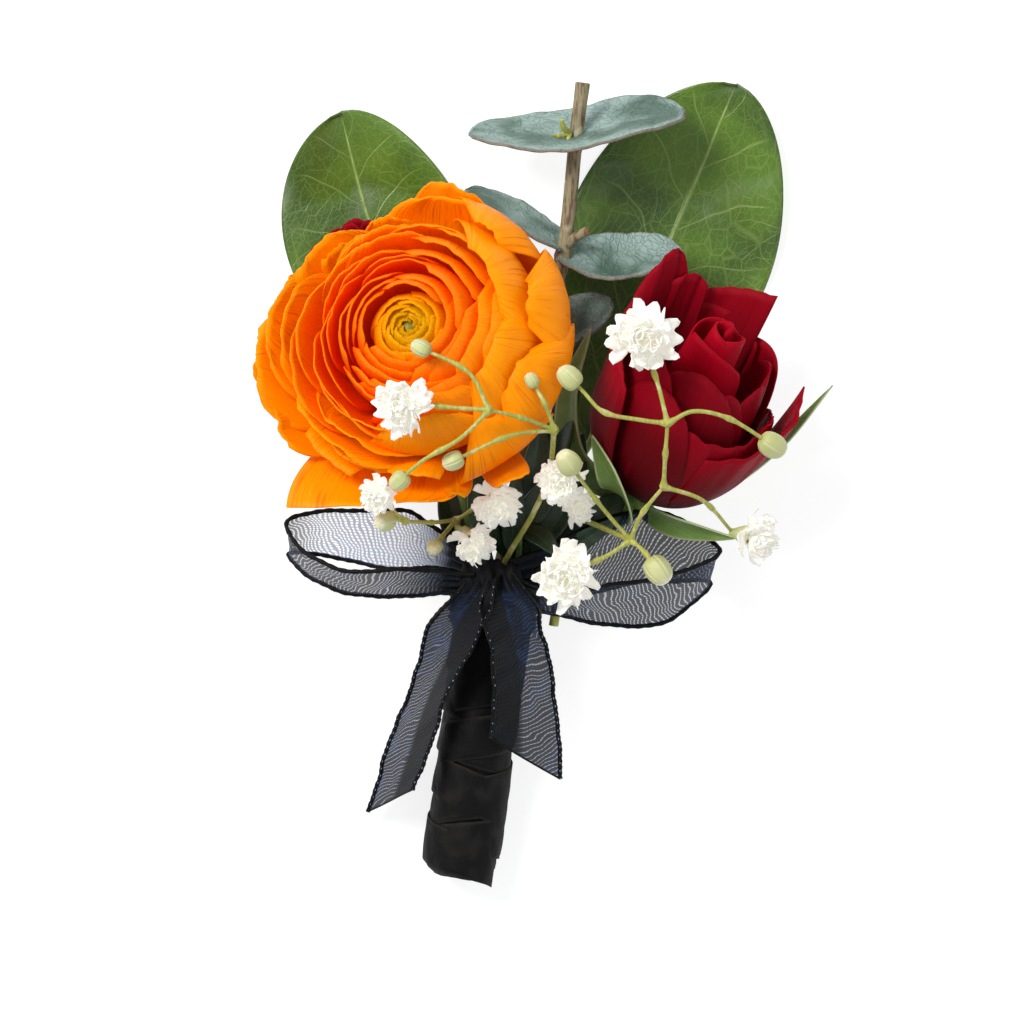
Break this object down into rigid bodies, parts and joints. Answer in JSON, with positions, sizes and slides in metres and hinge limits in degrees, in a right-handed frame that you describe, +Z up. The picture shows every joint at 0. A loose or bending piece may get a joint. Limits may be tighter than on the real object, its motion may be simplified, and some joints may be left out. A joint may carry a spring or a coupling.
{
  "type": "boutonniere",
  "caption": "Small flower bunch for a lapel: ranunculus, roses, leaves and gypsophila sprays, stems bound in black tape with a sheer ribbon bow, lying on its back.",
  "frame": {"origin": "middle of the bounding box's underside, on the surface that the bunch lies on", "axes": "+Z up, the way the blooms face; +Y from the bound handle's end to the leaf tips; +X to the right, seen from above"},
  "size_m": [0.093, 0.129, 0.0548],
  "materials": {
    "tape": "matte",
    "ribbon": "satin",
    "orange_petal": "satin",
    "yellow_petal": "satin",
    "red_petal": "matte",
    "stem_green": "satin",
    "leaf_green": "gloss",
    "eucalyptus_leaf": "matte",
    "eucalyptus_bark": "matte",
    "dark_leaf": "satin",
    "spray_green": "satin",
    "white_petal": "matte"
  },
  "bodies": {
    "root": {"tape_wrap": "tape", "ranunculus_petals": "orange_petal", "ranunculus_heart": "yellow_petal", "ranunculus_stem": "stem_green", "rose_petals": "red_petal", "rose_stem": "stem_green", "rear_rose_petals": "red_petal", "rear_rose_stem": "stem_green", "salal_leaf_left": "leaf_green", "salal_leaf_right": "leaf_green", "eucalyptus_stem": "eucalyptus_bark", "eucalyptus_leaves_top": "eucalyptus_leaf", "eucalyptus_leaves_middle": "eucalyptus_leaf", "eucalyptus_leaf_low": "eucalyptus_leaf", "dark_leaves": "dark_leaf", "gypsophila_spray_left": "spray_green", "gypsophila_spray_right": "spray_green", "gypsophila_spray_low": "spray_green", "ribbon_band": "ribbon", "ribbon_knot": "ribbon", "ribbon_loop_left": "ribbon", "ribbon_loop_right": "ribbon", "ribbon_tail_left": "ribbon", "ribbon_tail_right": "ribbon", "gypsophila_flower_front": "white_petal", "gypsophila_flower_over_rose": "white_petal", "gypsophila_flower_over_loop": "white_petal", "gypsophila_flower_outer": "white_petal", "gypsophila_flower_low": "white_petal", "gypsophila_flower_middle": "white_petal", "gypsophila_flower_under_petal": "white_petal", "gypsophila_flower_left": "white_petal", "gypsophila_flower_deep": "white_petal"}
  },
  "joints": []
}
